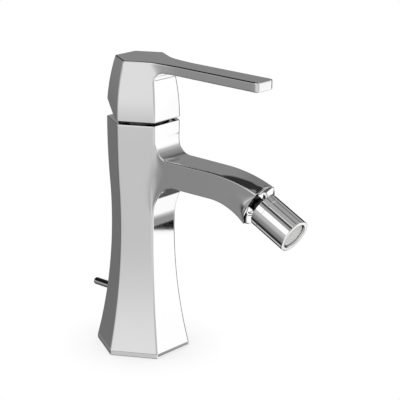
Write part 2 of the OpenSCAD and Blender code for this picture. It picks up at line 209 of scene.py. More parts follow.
def bevel(a, p, b):
    return [a] + bezier(a, p, b) + [b]


def rolled(row, corners, end):
    """Inner rows of a rounded edge from one row to another round a row of sharp corners."""
    columns = [bezier(a, p, b) for a, p, b in zip(row, corners, end)]
    return [list(inner) for inner in zip(*columns)]


def across(x, z, half):
    """A row of points from -half to half along Y, with close pairs at its ends."""
    end = max(0.0, half - HOLD)
    ys = [-half] + [end * f for f in spread(-1, 1, 16)] + [half]
    return [(x, y, z) for y in ys]


def circle(points, r, z):
    """A circle round Z with one point in the direction of each given point."""
    angles = [math.atan2(p[1], p[0]) for p in points]
    return [(r * math.cos(a), r * math.sin(a), z) for a in angles]


def disc(shell, ring, centre):
    for i in range(len(ring)):
        shell.face(ring[i], ring[(i + 1) % len(ring)], centre)


def fill_flat(shell, loops):
    """Flat face inside the first loop, with the other loops as holes."""
    bm = bmesh.new()
    edges = []
    for loop in loops:
        verts = [bm.verts.new(p) for p in loop]
        edges += [bm.edges.new((verts[i], verts[(i + 1) % len(verts)])) for i in range(len(verts))]
    made = bmesh.ops.triangle_fill(bm, edges=edges, use_beauty=True, use_dissolve=False)
    for f in made["geom"]:
        if isinstance(f, bmesh.types.BMFace):
            shell.face(*[tuple(v.co) for v in f.verts])
    bm.free()


def box_outline(rows, i0, i1, j0, j1):
    """Points round a block of grid cells, from columns i0 to i1 and rows j0 to j1."""
    out = [rows[j0][i] for i in range(i0, i1)]
    out += [rows[j][i1] for j in range(j0, j1)]
    out += [rows[j1][i] for i in range(i1, i0, -1)]
    out += [rows[j][i0] for j in range(j1, j0, -1)]
    return out


def hole_patch(shell, outline, centre, r, surface, steps=6):
    """Fills from an outline, seen in Y and Z, to a round hole; surface(y, z) gives the points."""
    rows = []
    for j in range(steps + 1):
        t = (j / steps) ** 0.8
        row = []
        for p in outline:
            y, z = p[1], p[2]
            a = math.atan2(z - centre[1], y - centre[0])
            hole_y, hole_z = centre[0] + r * math.cos(a), centre[1] + r * math.sin(a)
            row.append(surface(y + (hole_y - y) * t, z + (hole_z - z) * t))
        rows.append(row)
    shell.grid(rows, closed=True)
    return rows[-1]


def stitch(shell, a, b, centre):
    """Joins two rings with different numbers of points by their angles about a point in Y and Z."""

    def angle(p):
        return math.atan2(p[2] - centre[1], p[1] - centre[0])

    def next_angle(ring, i):
        return angle(ring[(i + 1) % len(ring)]) + (2 * math.pi if i + 1 >= len(ring) else 0)

    a, b = sorted(a, key=angle), sorted(b, key=angle)
    i = j = 0
    while i < len(a) or j < len(b):
        pa, pb = a[i % len(a)], b[j % len(b)]
        if i < len(a) and (next_angle(a, i) <= next_angle(b, j) or j >= len(b)):
            shell.face(pa, a[(i + 1) % len(a)], pb)
            i += 1
        else:
            shell.face(pa, b[(j + 1) % len(b)], pb)
            j += 1


# Hexagonal column


def column_a(z):
    if z <= RIM_H:
        return BASE_A
    if z <= TURN_Z:
        return WAIST_A + HOLLOW_R - math.sqrt(HOLLOW_R ** 2 - (z - WAIST_Z) ** 2)
    return TOP_A - FULL_R + math.sqrt(FULL_R ** 2 - (z - FULL_Z) ** 2)


def cap_a(z):
    return CAP_A - CAP_R + math.sqrt(CAP_R ** 2 - (z - CAP_Z) ** 2)


def on_face(k, q, a, z):
    """Point on face k of a hexagon, q along it from its middle."""
    phi = math.radians(60 * k)
    return (a * math.cos(phi) - q * math.sin(phi), a * math.sin(phi) + q * math.cos(phi), z)


# Steps along the side next to the front: millimetres up to NEAR, then percent of what is left
NEAR = 9.0
SIDE_STEPS = [0.0, HOLD] + spread(0.7, NEAR, 13) + spread(10.0, 100.0, 5)[:5]
SIDE_ENDS = (0.985, 1.0)
FACE_STEPS = [-1.0, -0.985] + spread(-0.86, 0.86, 10) + [0.985, 1.0]
N_FIRST = len(SIDE_STEPS) + len(SIDE_ENDS)
BACK_START = N_FIRST + len(BEVEL_STEPS) + len(FACE_STEPS) + len(BEVEL_STEPS)
# Columns of the back face that a round hole takes out
HOLE_COLUMNS = (BACK_START + 1, BACK_START + len(FACE_STEPS) - 2)


def back_row(a, z, side_y):
    """From the front edge on the +Y side, round the back, to the front edge on the -Y side."""
    length = 2 * a * T30
    front_edge = EDGE / C30
    span = length - front_edge - EDGE
    first = []
    for d in SIDE_STEPS:
        d = d if d <= NEAR else NEAR + (span - NEAR) * (d - NEAR) / (100 - NEAR)
        x = a - (front_edge + d) * C30
        first.append((x, side_y(x), z))
    first += [on_face(1, -length / 2 + front_edge + span * f, a, z) for f in SIDE_ENDS]
    row = list(first)
    for k in (2, 3, 4):
        corner = on_face(k, -length / 2, a, z)
        start = on_face(k, -length / 2 + EDGE, a, z)
        row += bezier(row[-1], corner, start)
        row += [on_face(k, f * (length / 2 - EDGE), a, z) for f in FACE_STEPS]
    last = mirrored(reversed(first))
    row += bezier(row[-1], on_face(5, -length / 2, a, z), last[0])
    return row + last


def plain_back(a, z):
    return back_row(a, z, lambda x: T30 * (2 * a - x))


def front_row(a, z):
    return across(a, z, a * T30 - EDGE)


def front_corner(a, z):
    """Start, sharp corner and end of the front face's rounded edge on the +Y side."""
    return (a, a * T30 - EDGE, z), (a, a * T30, z), (a - EDGE, T30 * (a + EDGE), z)


def front_bevel(a, z):
    return bevel(*front_corner(a, z))


def full_loop(front, edge, back):
    """One closed ring from a front row, the rounded edge on its +Y side and a back row."""
    return front + edge[1:] + back[1:] + mirrored(edge)[::-1][1:-1]


def add_front(shell, levels):
    """Front face of the column and its two rounded edges; returns the rows of the first two."""
    rows = [front_row(a, z) for z, a in levels]
    bevels = [front_bevel(a, z) for z, a in levels]
    shell.grid(rows)
    shell.grid(bevels)
    shell.grid([mirrored(row) for row in bevels])
    return rows, bevels


# Spout


def spout_half(x):
    return SPOUT_HALF - SPOUT_TAPER * (x - SPOUT_FROM)


def body_side_y(x, z, v):
    """Y of the +Y side of the column and spout; v is 0 at the lower crease and 1 at the upper."""
    column_y = T30 * (2 * column_a(z) - x)
    half = spout_half(x) - SPOUT_DIP * (1 - smooth_step((z - ROOT_C[1]) / DIP_RISE))
    r = BLEND_END_R + (BLEND_R - BLEND_END_R) * (1 - abs(2 * v - 1) ** 1.5)
    # The blend's centre, from where the two straight sides meet
    centre = x + (column_y - half) / (T30 - SPOUT_TAPER) + BLEND_X * r
    if x <= centre - 0.5 * r:
        return column_y
    if x >= centre - SPOUT_TAPER * r:
        return half
    centre_half = half - SPOUT_TAPER * (centre - x)
    return centre_half + BLEND_Y * r - math.sqrt(r * r - (x - centre) ** 2)


def end_point(w, y, h):
    """Point w along the end axis from the end plane, y across and h up in that plane."""
    return (TIP[0] + w * N[0] + h * H[0], y, TIP[1] + w * N[1] + h * H[1])


def end_coords(p):
    """How far a point is along the end axis, and how far up the end plane."""
    dx, dz = p[0] - TIP[0], p[2] - TIP[1]
    return dx * N[0] + dz * N[1], dx * H[0] + dz * H[1]


def flare(w):
    """How much smaller than at its mouth the bell is, w behind the end plane."""
    if w >= BELL_KNEE:
        return FLARE_R * math.sqrt(1 - ((w - BELL_KNEE) / FLARE_R) ** 2) - FLARE_DROP
    return FLARE_R - FLARE_DROP + (w - BELL_KNEE) ** 2 / FLARE_FADE


def swell_side(p):
    """Moves a point of the spout's side out to the round bell."""
    w, h = end_coords(p)
    if w < BELL_FROM:
        return p
    bell_h, bell_y = BELL_H - flare(w), BELL_Y - flare(w)
    q = min(1.0, abs(h) / bell_h)
    k = BELL_BLEND * max(0.0, 1 - (abs(h) / SIDE_REACH) ** 2)
    return (p[0], soft_max(p[1], bell_y * math.sqrt(1 - q * q), k), p[2])


def crown(p, w, h):
    """How far the middle of the top face stands above its edges, growing towards the end."""
    if h < 0:
        return 0.0
    half = spout_half(p[0]) - EDGE
    return CROWN * smooth_step((w - CROWN_FROM) / CROWN_RUN) * max(0.0, 1 - (p[1] / half) ** 2)


def swell_flat(p):
    """Moves a point of the spout's top or underside out to the crown and the round bell."""
    w, h = end_coords(p)
    y = p[1]
    d = crown(p, w, h)
    if w >= BELL_FROM:
        bell_h, bell_y = BELL_H - flare(w), BELL_Y - flare(w)
        q = min(1.0, abs(y) / bell_y)
        k = BELL_BLEND * max(0.0, 1 - (abs(y) / FLAT_REACH) ** 2)
        out = soft_max(abs(h), bell_h * math.sqrt(1 - q * q), k) - abs(h)
        d += math.copysign(out, h)
    return (p[0] + d * H[0], y, p[2] + d * H[1])


# Steps along the curved part of the spout, closer together towards the tip
TAPER = [1 - (1 - t) ** 1.35 for t in spread(0, 1, 18)[1:]]


def end_arc(x, z, r, side):
    """Stations from the level part of an outline to the tip; side is 1 on top and -1 below."""
    end = (TIP[0] + side * TIP_HALF * H[0], TIP[1] + side * TIP_HALF * H[1])
    full = math.acos((end[0] - x) / r)
    lift = end[1] - (z - r + r * math.sin(full))
    out = []
    for t in TAPER:
        phi = math.pi / 2 + (full - math.pi / 2) * t
        c, s = math.cos(phi), math.sin(phi)
        out.append((x + r * c, z - r + r * s + lift * t * t, -side * c, -side * s))
    return out


def lower_path():
    """Stations of the lower crease from the column to the tip: x, z and the inward normal."""
    out = []
    for phi in spread(180, 90, 14):
        c, s = math.cos(math.radians(phi)), math.sin(math.radians(phi))
        nx, nz = c / ROOT_AX[0], s / ROOT_AX[1]
        n = math.hypot(nx, nz)
        out.append((ROOT_C[0] + ROOT_AX[0] * c, ROOT_C[1] + ROOT_AX[1] * s, nx / n, nz / n))
    out += [(x, UNDER_Z, 0, 1) for x in spread(ROOT_C[0], UNDER_X, 8)[1:]]
    return out + end_arc(UNDER_X, UNDER_Z, UNDER_R, -1)


def upper_path():
    """Stations of the upper crease, as for the lower one."""
    out = []
    fillet_x = column_a(FILLET_Z) + FILLET_R
    for phi in spread(180, 270, 14):
        c, s = math.cos(math.radians(phi)), math.sin(math.radians(phi))
        out.append((fillet_x + FILLET_R * c, FILLET_Z + FILLET_R * s, c, s))
    out += [(x, TOP_Z, 0, -1) for x in spread(fillet_x, TOP_X, 8)[1:]]
    return out + end_arc(TOP_X, TOP_Z, TOP_R, 1)


def crease(station, v):
    """Start, sharp corner and end of the rounded crease at a station."""
    x, z, nx, nz = station
    y = body_side_y(x, z, v)
    side_x, side_z = x + EDGE * nx, z + EDGE * nz
    return (x, y - EDGE, z), (x, y, z), (side_x, body_side_y(side_x, side_z, v), side_z)


def crease_rows(path, v):
    """Rows of the face and of its rounded edge along a path, and where that edge ends."""
    faces, bevels, sides = [], [], []
    for i, station in enumerate(path):
        z = station[1]
        strip, corner, side = crease(station, v) if i else front_corner(column_a(z), z)
        face = [swell_flat(p) for p in across(strip[0], strip[2], strip[1])]
        faces.append(face)
        bevels.append([face[-1]] + bezier(strip, corner, side) + [swell_side(side)])
        sides.append(side)
    return faces, bevels, sides


def pulled(row):
    """The row moved back from the spout's end for the rounded rim."""
    return [(p[0] - RIM_BACK * N[0], p[1], p[2] - RIM_BACK * N[1]) for p in row]


def add_mouth(shell, loop):
    """Rounded rim, dished end, seat and bore of the spout, inside the loop round its end."""
    spokes = []
    for p in loop:
        h = end_coords(p)[1]
        spokes.append((p[1], h, math.hypot(p[1], h)))

    def dish(spoke, r):
        y, h, full = spoke
        w = DISH_R - DISH_DEPTH - math.sqrt(DISH_R ** 2 - r * r)
        return end_point(w, y * r / full, h * r / full)

    outer = pulled(loop)
    inner = [dish(spoke, spoke[2] - RIM_ROLL) for spoke in spokes]
    rows = [outer] + rolled(outer, loop, inner) + [inner]
    for t in (0.03, 0.2, 0.4, 0.6, 0.8, 0.97, 1.0):
        row = []
        for spoke in spokes:
            start = spoke[2] - RIM_ROLL
            row.append(dish(spoke, start + (SEAT_R - start) * t))
        rows.append(row)
    for r, w in ((SEAT_R, SEAT_W), (BORE_R, SEAT_W), (BORE_R, BORE_W)):
        rows.append([end_point(w, y * r / full, h * r / full) for y, h, full in spokes])
    shell.grid(rows, closed=True)
    disc(shell, rows[-1], end_point(BORE_W, 0, 0))


def add_spout(shell, mid_rows, v_rows):
    low_faces, low_bevels, low_sides = crease_rows(lower_path(), 0.0)
    top_faces, top_bevels, top_sides = crease_rows(upper_path(), 1.0)

    # The side starts on the column's own points
    side_cols = [[row[0] for row in mid_rows]]
    for b, t in list(zip(low_sides, top_sides))[1:]:
        col = [swell_side(b)]
        for v in v_rows[1:-1]:
            x, z = b[0] + (t[0] - b[0]) * v, b[2] + (t[2] - b[2]) * v
            col.append(swell_side((x, body_side_y(x, z, v), z)))
        side_cols.append(col + [swell_side(t)])
    low_bevels[0][-1] = side_cols[0][0]
    top_bevels[0][-1] = side_cols[0][-1]

    loop = low_faces[-1] + low_bevels[-1][1:] + side_cols[-1][1:] + top_bevels[-1][::-1][1:]
    loop += top_faces[-1][::-1][1:] + mirrored(top_bevels[-1])[1:]
    loop += mirrored(side_cols[-1])[::-1][1:] + mirrored(low_bevels[-1])[::-1][1:-1]

    # The last station is pulled back for the rounded rim
    for rows in (low_faces, top_faces, low_bevels, top_bevels, side_cols):
        rows[-1] = pulled(rows[-1])
    shell.grid(low_faces)
    shell.grid(top_faces)
    for rows in (low_bevels, top_bevels, side_cols):
        shell.grid(rows)
        shell.grid([mirrored(row) for row in rows])
    add_mouth(shell, loop)


# Body


def column_levels():
    """Heights and half widths of the rows under and over the spout, and the rows of the bush's hole."""
    # Rounded lower edge, then the upright foot
    low = [(0, BASE_A - EDGE - HOLD), (0, BASE_A - EDGE), (0.11 * EDGE, BASE_A - 0.54 * EDGE),
           (0.37 * EDGE, BASE_A - 0.2 * EDGE)]
    low += [(z, BASE_A) for z in (EDGE, 1.0, 1.6, RIM_H - 0.15, RIM_H)]
    low += [(z, column_a(z)) for z in [RIM_H + 0.15] + spread(4.0, BUSH_PATCH[0], 8)]
    hole_start = len(low) - 1
    low += [(z, column_a(z)) for z in spread(*BUSH_PATCH, 8)[1:]]
    hole_end = len(low) - 1
    low += [(z, column_a(z)) for z in spread(BUSH_PATCH[1], ROOT_C[1], 16)[1:]]
    high = [(z, column_a(z)) for z in spread(FILLET_Z, BODY_H - 1.0, 6)]
    # Rounded upper edge, next to the gap
    top_a = column_a(BODY_H)
    high += [(BODY_H - GAP_EDGE, top_a), (BODY_H - 0.13, top_a - 0.07), (BODY_H - 0.04, top_a - 0.19),
             (BODY_H, top_a - GAP_EDGE), (BODY_H, top_a - GAP_EDGE - HOLD)]
    return low, high, (hole_start, hole_end)


def add_underside(shell, base, bush_rim):
    """Seat ring, gasket groove, recess with its drillings, and the hole for the bush."""
    outer, inner = GROOVE_R
    rings = [base, circle(base, outer, 0), circle(base, outer, GROOVE_DEPTH),
             circle(base, inner, GROOVE_DEPTH), circle(base, inner, 0), circle(base, RECESS_R, 0)]
    shell.grid(rings, closed=True)

    walls = [circle(base, RECESS_R, z) for z in [0] + spread(*INNER_PATCH, 8) + [RECESS_TOP]]
    behind = [i for i, p in enumerate(walls[0]) if p[0] < 0 and abs(p[1]) < INNER_PATCH_Y]
    i0, i1, j0, j1 = min(behind), max(behind), 1, len(walls) - 2
    shell.grid(walls, closed=True, skip=lambda i, j: i0 <= i < i1 and j0 <= j < j1)
    inner_rim = hole_patch(shell, box_outline(walls, i0, i1, j0, j1), BUSH_AT, BUSH_R,
                           lambda y, z: (-math.sqrt(RECESS_R ** 2 - y * y), y, z))
    stitch(shell, bush_rim, inner_rim, BUSH_AT)

    rims = []
    for x, y, r in DRILLINGS:
        turns = spread(0, 2 * math.pi, 48)[:-1]
        rims.append([(x + r * math.cos(t), y + r * math.sin(t), RECESS_TOP) for t in turns])
    fill_flat(shell, [walls[-1]] + rims)
    for (x, y, _), rim in zip(DRILLINGS, rims):
        top = [(p[0], p[1], DRILL_TOP) for p in rim]
        shell.grid([rim, top], closed=True)
        disc(shell, top, (x, y, DRILL_TOP))


def build_body():
    shell = Shell()
    low, high, hole_rows = column_levels()
    # Rows beside the spout's root, from its lower crease at 0 to its upper one at 1
    v_rows = [0.0, 0.006] + spread(0.02, 0.98, 30) + [0.994, 1.0]

    def spout_row(v):
        z = ROOT_C[1] + v * (FILLET_Z - ROOT_C[1])
        return back_row(column_a(z), z, lambda x: body_side_y(x, z, v))

    mid_rows = [spout_row(v) for v in v_rows]
    low_rows = [plain_back(a, z) for z, a in low[:-1]] + [mid_rows[0]]
    high_rows = [mid_rows[-1]] + [plain_back(a, z) for z, a in high[1:]]
    i0, i1 = HOLE_COLUMNS
    j0, j1 = hole_rows
    shell.grid(low_rows, skip=lambda i, j: i0 <= i < i1 and j0 <= j < j1)
    shell.grid(mid_rows)
    shell.grid(high_rows)
    bush_rim = hole_patch(shell, box_outline(low_rows, i0, i1, j0, j1), BUSH_AT, BUSH_R,
                          lambda y, z: (-column_a(z), y, z))

    low_front, low_bevels = add_front(shell, low)
    high_front, high_bevels = add_front(shell, high)
    add_spout(shell, mid_rows, v_rows)
    add_underside(shell, full_loop(low_front[0], low_bevels[0], low_rows[0]), bush_rim)

    top = full_loop(high_front[-1], high_bevels[-1], high_rows[-1])
    rings = [top, circle(top, WELL_R[0], BODY_H), circle(top, WELL_R[0], WELL_Z[0]),
             circle(top, WELL_R[1], WELL_Z[0]), circle(top, WELL_R[1], WELL_Z[1])]
    shell.grid(rings, closed=True)
    disc(shell, rings[-1], (0, 0, WELL_Z[1]))
    return shell.make("body_casting")


# Cap and lever


def lever_half(x):
    if x < FLARE_X:
        return LEVER_HALF + LEVER_FLARE * ((FLARE_X - x) / FLARE_RUN) ** 2
    return LEVER_HALF + LEVER_WIDEN * (x - FLARE_X) / WIDEN_RUN


def lever_side_y(x, z):
    blend = LEVER_BLEND * smooth_step((z - LEVER_UNDER + LEVER_FILLET) / BLEND_RISE)
    return soft_max(T30 * (2 * cap_a(z) - x), lever_half(x), blend)


def cut(p):
    """Height of the cap's lower edge at a point, with its slope at the back."""
    return CAP_Z + max(0.0, (CUT_X - p[0]) * CUT_SLOPE)


def cap_rows(make_row, top, vs):
    """Rows of the cap from its sloped lower edge to a height, and the sharp lower edge itself."""
    edge = make_row(cap_a(CAP_Z), CAP_Z)
    for _ in range(4):
        heights = [cut(p) for p in edge]
        edge = [make_row(cap_a(h), h)[i] for i, h in enumerate(heights)]
    rows = []
    for v in vs:
        row = []
        for i, h in enumerate(heights):
            z = h + GAP_EDGE + (top - h - GAP_EDGE) * v
            row.append(make_row(cap_a(z), z)[i])
        rows.append(row)
    return rows, edge


def inset(loop, d):
    """The loop moved inwards by d in plan."""
    n = len(loop)
    area = sum(loop[i - 1][0] * loop[i][1] - loop[i][0] * loop[i - 1][1] for i in range(n))
    sign = 1 if area > 0 else -1
    out = []
    for i in range(n):
        a, p, b = loop[i - 1], loop[i], loop[(i + 1) % n]
        e0 = Vector((p[0] - a[0], p[1] - a[1])).normalized()
        e1 = Vector((b[0] - p[0], b[1] - p[1])).normalized()
        n0, n1 = Vector((-e0.y, e0.x)) * sign, Vector((-e1.y, e1.x)) * sign
        m = (n0 + n1).normalized()
        m *= d / max(0.4, m.dot(n0))
        out.append((p[0] + m.x, p[1] + m.y, p[2]))
    return out


def lever_stations(fillet_z):
    """Outline of the bar: x, y or None for its side, plan normal, lower height and its inward normal."""
    fillet_x = cap_a(fillet_z) + LEVER_FILLET
    out = []
    for phi in spread(180, 90, FILLET_STEPS):
        c, s = math.cos(math.radians(phi)), math.sin(math.radians(phi))
        out.append((fillet_x + LEVER_FILLET * c, None, 0, 1, fillet_z + LEVER_FILLET * s, c, s))
    corner_x = LEVER_END - LEVER_CORNER
    out += [(x, None, 0, 1, LEVER_UNDER, 0, 1) for x in spread(fillet_x, corner_x, 24)[1:]]
    corner_y = lever_half(corner_x) - LEVER_CORNER
    for phi in spread(90, 0, 6)[1:]:
        c, s = math.cos(math.radians(phi)), math.sin(math.radians(phi))
        x, y = corner_x + LEVER_CORNER * c, corner_y + LEVER_CORNER * s
        out.append((x, y, c, s, LEVER_UNDER, 0, 1))
    return out


def bar_rows(stations, fillet_z, side_top, first_col):
    """Rows of the bar's underside and of its rounded edge, and columns of its side."""
    unders, bevels, cols = [], [], []
    for i, (x, y, mx, my, low_z, nx, nz) in enumerate(stations):
        edge_y = lever_side_y(x, low_z) if y is None else y
        strip = (x - EDGE * mx, edge_y - EDGE * my, low_z)
        unders.append(across(strip[0], strip[2], strip[1]))
        if i == 0:
            cols.append(first_col)
            bevels.append(bevel(strip, (x, edge_y, low_z), first_col[0]))
            continue
        side_x, side_z = x + EDGE * nx, low_z + EDGE * nz
        side = (side_x, lever_side_y(side_x, side_z) if y is None else edge_y, side_z)
        bevels.append(bevel(strip, (x, edge_y, low_z), side))
        top_x = x
        if i <= FILLET_STEPS:
            start_x = cap_a(side_top) - EDGE
            top_x = start_x + (x - start_x) * i / FILLET_STEPS
        col = [side]
        for v in spread(0, 1, 12)[1:]:
            z = side_z + (side_top - side_z) * v
            px = side_x + (top_x - side_x) * v
            col.append((px, lever_side_y(px, z) if y is None else y, z))
        cols.append(col)
    return unders, bevels, cols


def add_cap_hollow(shell, outer, corner):
    """Rolled lower edge of the cap and the round hollow over the dome."""
    ring, hollow = [], []
    for p in corner:
        r = math.hypot(p[0], p[1])
        x, y = p[0] * (r - GAP_EDGE) / r, p[1] * (r - GAP_EDGE) / r
        ring.append((x, y, cut((x, y))))
        # Radius at which the sloped edge meets the hollow's sphere, found by halving
        a = math.atan2(p[1], p[0])
        lo, hi = 5.0, 20.0
        for _ in range(40):
            mid = (lo + hi) / 2
            x, y = mid * math.cos(a), mid * math.sin(a)
            inside = x * x + y * y + (cut((x, y)) - PIVOT_Z) ** 2 < HOLLOW_DOME ** 2
            lo, hi = (mid, hi) if inside else (lo, mid)
        x, y = lo * math.cos(a), lo * math.sin(a)
        hollow.append((x, y, cut((x, y))))
    rows = [outer] + rolled(outer, corner, ring) + [ring, hollow]
    for t in (0.12, 0.25, 0.4, 0.55, 0.7, 0.85):
        row = []
        for x, y, _ in hollow:
            x, y = x * (1 - t), y * (1 - t)
            row.append((x, y, PIVOT_Z + math.sqrt(HOLLOW_DOME ** 2 - x * x - y * y)))
        rows.append(row)
    shell.grid(rows, closed=True)
    disc(shell, rows[-1], (0, 0, PIVOT_Z + HOLLOW_DOME))


def build_lever():
    shell = Shell()
    fillet_z = LEVER_UNDER - LEVER_FILLET
    side_top = LEVER_TOP - EDGE
    vs = [0.0, 0.01] + spread(0.06, 1.0, 12)
    backs, back_edge = cap_rows(plain_back, fillet_z, vs)
    fronts, front_edge = cap_rows(front_row, fillet_z, vs)
    corners, corner_edge = cap_rows(front_bevel, fillet_z, vs)

    # Round hole at the back for the screw and its plug
    i0, i1 = HOLE_COLUMNS
    j0, j1 = 4, 12
    shell.grid(backs, skip=lambda i, j: i0 <= i < i1 and j0 <= j < j1)
    rim = hole_patch(shell, box_outline(backs, i0, i1, j0, j1), PLUG_AT, PLUG_R,
                     lambda y, z: (-cap_a(z), y, z))
    bottom = [(PLUG_X, p[1], p[2]) for p in rim]
    shell.grid([rim, bottom], closed=True)
    disc(shell, bottom, (PLUG_X, *PLUG_AT))
    shell.grid(fronts)
    shell.grid(corners)
    shell.grid([mirrored(row) for row in corners])

    # Upper rows of the back faces, whose ends turn into the bar's sides
    upper = [plain_back(cap_a(z), z) for z in spread(fillet_z, side_top, 12)]
    for row in upper[1:]:
        for i in range(N_FIRST):
            x, _, z = row[i]
            row[i] = (x, lever_side_y(x, z), z)
            row[-1 - i] = (x, -row[i][1], z)
    shell.grid(upper)

    stations = lever_stations(fillet_z)
    unders, bevels, cols = bar_rows(stations, fillet_z, side_top, [row[0] for row in upper])
    shell.grid(unders)
    for rows in (bevels, cols):
        shell.grid(rows)
        shell.grid([mirrored(row) for row in rows])

    # End face of the bar
    start = [(LEVER_END - EDGE, p[1], LEVER_UNDER) for p in unders[-1]]
    corner = [(LEVER_END, p[1], LEVER_UNDER) for p in start]
    face = [[(LEVER_END, p[1], top[2]) for p in start] for top in cols[-1]]
    above = [(LEVER_END, p[1], LEVER_UNDER + EDGE) for p in start]
    ends = [start] + rolled(start, corner, above) + face
    half = cols[-1][0][1]
    for row in ends:
        row[0] = (row[0][0], -half, row[0][2])
        row[-1] = (row[-1][0], half, row[-1][2])
    shell.grid(ends)

    # Top, with its rolled edge
    side = [col[-1] for col in cols]
    loop = upper[-1] + mirrored(side)[1:] + ends[-1][1:-1] + side[::-1][:-1]
    flat = [(p[0], p[1], LEVER_TOP) for p in loop]
    inner = inset(flat, EDGE)
    rows = [loop] + rolled(loop, flat, inner) + [inner, inset(flat, EDGE + 0.15)]
    shell.grid(rows, closed=True)
    fill_flat(shell, [rows[-1]])

    add_cap_hollow(shell, full_loop(fronts[0], corners[0], backs[0]),
                   full_loop(front_edge, corner_edge, back_edge))
    return shell.make("lever_casting")


# Turned pieces


def rounded(profile, radii):
    """Rounds the corners of a profile of (axial, radius) points; 0 keeps a corner."""
    out = []
    for i, p in enumerate(profile):
        if radii[i] == 0 or i in (0, len(profile) - 1):
            out.append(p)
            continue
        c = Vector(p)
        before, after = Vector(profile[i - 1]) - c, Vector(profile[i + 1]) - c
        s = min(radii[i], before.length * 0.45, after.length * 0.45)
        near = min(s * 1.35, before.length * 0.49)
        far = min(s * 1.35, after.length * 0.49)
        before.normalize()
        after.normalize()
        out.append(tuple(c + before * near))
        out += bevel(tuple(c + before * s), p, tuple(c + after * s))
        out.append(tuple(c + after * far))
    return out


def lathe(name, profile, origin, axis, segments=128):
    """Turns a profile of (axial, radius) points round an axis; a closed profile makes a ring."""
    z = Vector(axis).normalized()
    x = Vector((0, 1, 0)) if abs(z.y) < 0.9 else Vector((1, 0, 0))
    x = (x - z * x.dot(z)).normalized()
    y = z.cross(x)
    shell = Shell()
    turns = spread(0, 2 * math.pi, segments)[:-1]
    rings = []
    for w, r in profile:
        centre = Vector(origin) + z * w
        rings.append([tuple(centre + x * (r * math.cos(t)) + y * (r * math.sin(t))) for t in turns])
    shell.grid(rings, closed=True)
    return shell.make(name)


def turned_pieces():
    """Every turned piece with the node it replaces and its body."""
    foot = (DOME_FOOT, DOME_BORE)
    dome = [(DOME_R * math.sin(t), DOME_R * math.cos(t)) for t in spread(0.158, 0.841, 14)]
    dome = [foot, (DOME_FOOT, 13.9)] + dome + [(10.9, DOME_BORE), foot]
    nozzle = rounded([
        (-3.3, 0), (-3.3, NOZZLE_R), (1.2, NOZZLE_R), (1.2, 9.2), (1.55, 9.2), (1.55, NOZZLE_R),
        (NOZZLE_END, NOZZLE_R), (NOZZLE_END, POCKET_R), (6.0, POCKET_R), (6.0, 0),
    ], [0, 0.45, 0.1, 0, 0, 0.1, 0.45, 0.25, 0, 0])
    face = rounded([(6.3, 0), (6.3, 7.38), (17.9, 7.38), (17.9, FACE_R), (18.65, FACE_R), (18.65, 0)],
                   [0, 0, 0.05, 0.05, 0.1, 0])
    collar = rounded([
        (-11.5, 3.0), (-11.5, 5.95), (-3.4, 5.95), (-3.4, 7.5), (-1.8, 7.5), (-1.8, 6.5), (-2.8, 6.5),
        (-2.8, 3.95), (-3.85, 3.95), (-3.85, 4.6), (-7.0, 4.6), (-7.0, 3.0), (-11.5, 3.0),
    ], [0, 0, 0, 0, 0.25, 0.2, 0, 0.1, 0, 0, 0, 0, 0])
    ball = [(BALL_W + BALL_R * math.cos(t), BALL_R * math.sin(t))
            for t in spread(math.pi - math.asin(NECK_R / BALL_R), 0.995, 18)]
    stem = [(STEM_END, STEM_BORE), (STEM_END, STEM_R), (NECK_W, STEM_R), (NECK_W, NECK_R)] + ball
    stem += [(BALL_W + 3.6, STEM_BORE), (STEM_END, STEM_BORE)]
    return [
        (lathe("dome_ring", dome, (0, 0, PIVOT_Z), (0, 0, 1)), "cover_dome", "mixer"),
        (lathe("nozzle_shell", nozzle, BALL, TIPPED_AXIS), "nozzle_housing", "nozzle"),
        (lathe("nozzle_face", face, BALL, TIPPED_AXIS), "nozzle_insert", "nozzle"),
        (lathe("collar_ring", collar, END, END_AXIS), "spout_collar", "mixer"),
        (lathe("ball_stem", stem, END, END_AXIS), "swivel_stem", "stem"),
    ]


# Materials


def node_with(nodes, kind, **values):
    """A new node with values for its inputs by name, underscores for spaces."""
    node = nodes.new(kind)
    for key, value in values.items():
        node.inputs[key.replace("_", " ")].default_value = value
    return node


def material(name, base, metallic, rough, rough_spread, bump=0.0, scale=60.0, coat=0.0):
    """Finish with slight changes of tone and gloss over the surface, and a fine bump."""
    mat = bpy.data.materials.new(name)
    mat.use_nodes = True
    nodes, links = mat.node_tree.nodes, mat.node_tree.links
    shader = nodes["Principled BSDF"]
    shader.inputs["Metallic"].default_value = metallic
    shader.inputs["Coat Weight"].default_value = coat
    place = nodes.new("ShaderNodeTexCoord").outputs["Object"]
    noise = node_with(nodes, "ShaderNodeTexNoise", Scale=scale, Detail=4.0)
    links.new(place, noise.inputs["Vector"])
    tint = nodes.new("ShaderNodeValToRGB")
    tint.color_ramp.elements[0].position = 0.3
    tint.color_ramp.elements[0].color = (*[c * 0.97 for c in base], 1)
    tint.color_ramp.elements[1].position = 0.7
    tint.color_ramp.elements[1].color = (*base, 1)
    links.new(noise.outputs["Fac"], tint.inputs["Fac"])
    links.new(tint.outputs["Color"], shader.inputs["Base Color"])
    gloss = node_with(nodes, "ShaderNodeMapRange", To_Min=max(0.0, rough - rough_spread),
                      To_Max=rough + rough_spread)
    links.new(noise.outputs["Fac"], gloss.inputs["Value"])
    links.new(gloss.outputs["Result"], shader.inputs["Roughness"])
    if bump:
        fine = node_with(nodes, "ShaderNodeTexNoise", Scale=scale * 8)
        links.new(place, fine.inputs["Vector"])
        relief = node_with(nodes, "ShaderNodeBump", Strength=bump, Distance=0.00005)
        links.new(fine.outputs["Fac"], relief.inputs["Height"])
        links.new(relief.outputs["Normal"], shader.inputs["Normal"])
    return mat


